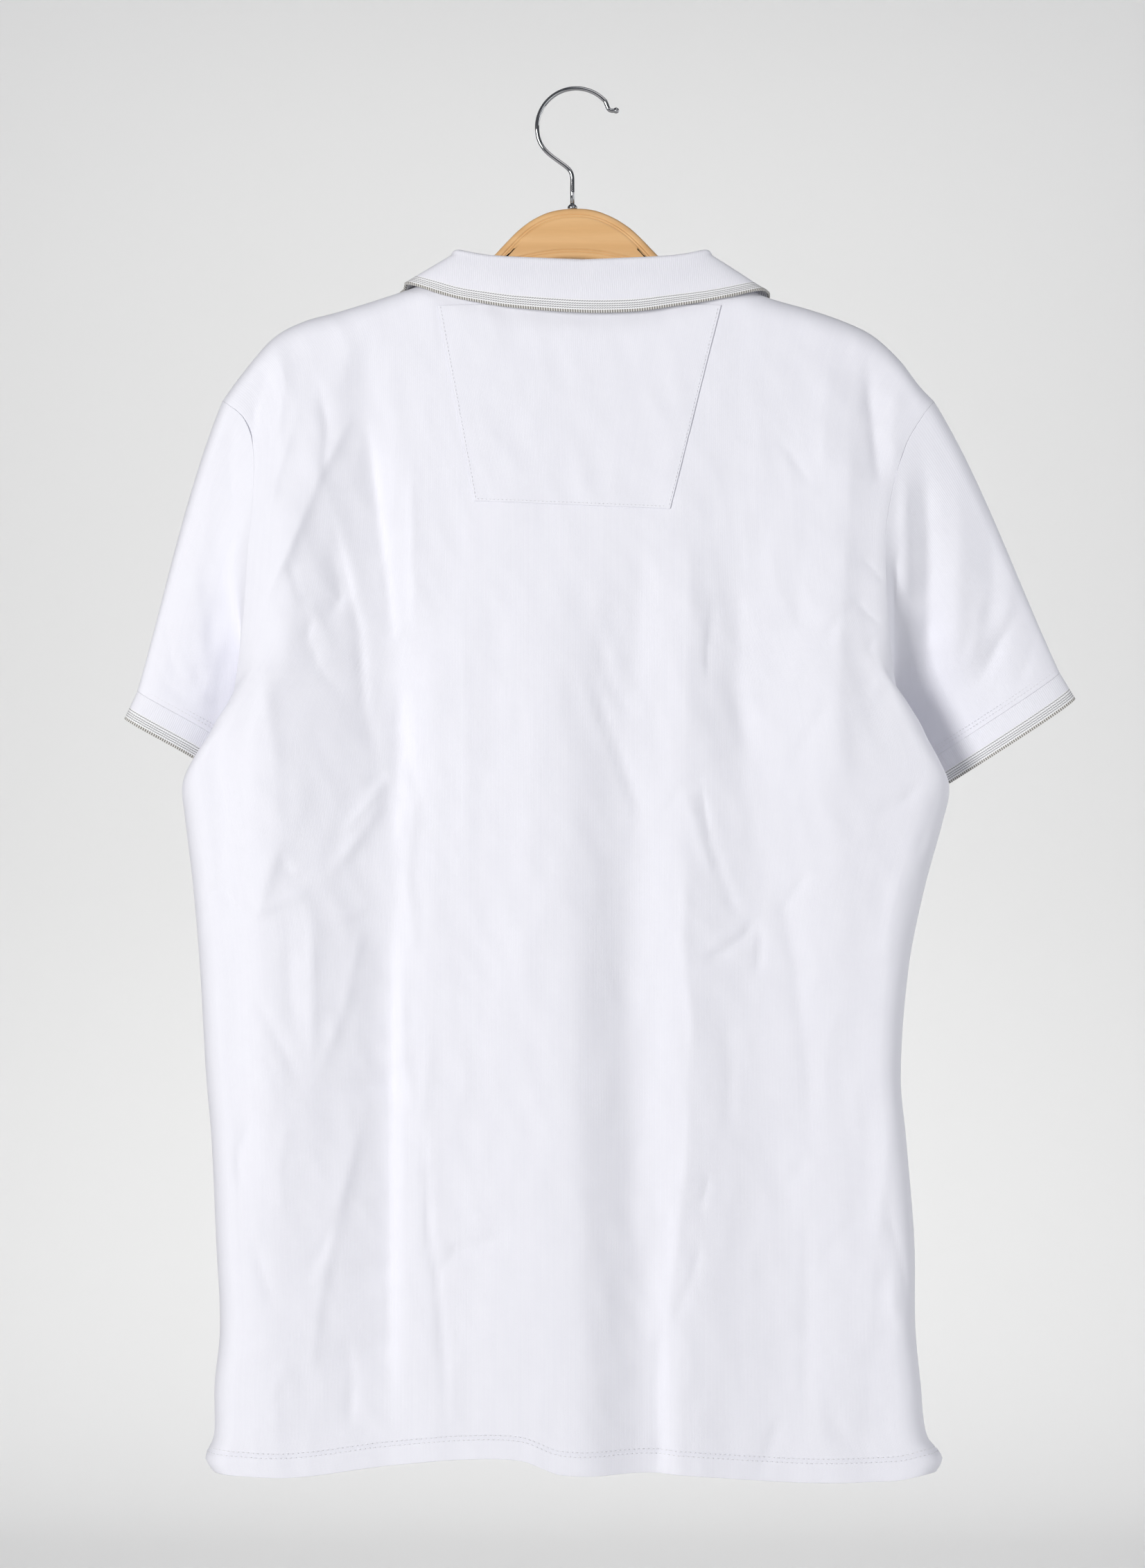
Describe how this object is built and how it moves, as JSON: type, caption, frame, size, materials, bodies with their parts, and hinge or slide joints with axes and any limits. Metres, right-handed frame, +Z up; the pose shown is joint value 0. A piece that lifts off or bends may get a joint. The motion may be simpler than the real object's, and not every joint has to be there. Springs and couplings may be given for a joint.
{
  "type": "polo shirt on hanger",
  "caption": "Short-sleeved knit polo shirt with a folded collar, buttoned placket and rib cuffs, hanging open at hem, neck and cuffs on a shaped wooden hanger with a wire hook.",
  "frame": {"origin": "inside top of the hook's bend, where a rail holds it", "axes": "+Z up along the hook's stem, +X towards the wearer's right, -Y towards the garment's back, which is the side shown"},
  "size_m": [0.6198, 0.1164, 0.9036],
  "materials": {
    "jersey": "fine white knit, matt",
    "rib": "white rib knit, grey tipped edge",
    "button": "polished white",
    "wood": "clear satin lacquer",
    "hook": "polished"
  },
  "bodies": {
    "root": {"back": "jersey", "front": "jersey", "back_patch": "jersey", "placket_top": "jersey", "placket_under": "jersey", "sleeve_left": "jersey", "sleeve_right": "jersey", "cuff_left": "rib", "cuff_right": "rib", "collar": "rib", "button_1": "button", "button_2": "button", "button_3": "button", "hanger": "wood", "hook": "hook", "ferrule": "hook"}
  },
  "joints": []
}
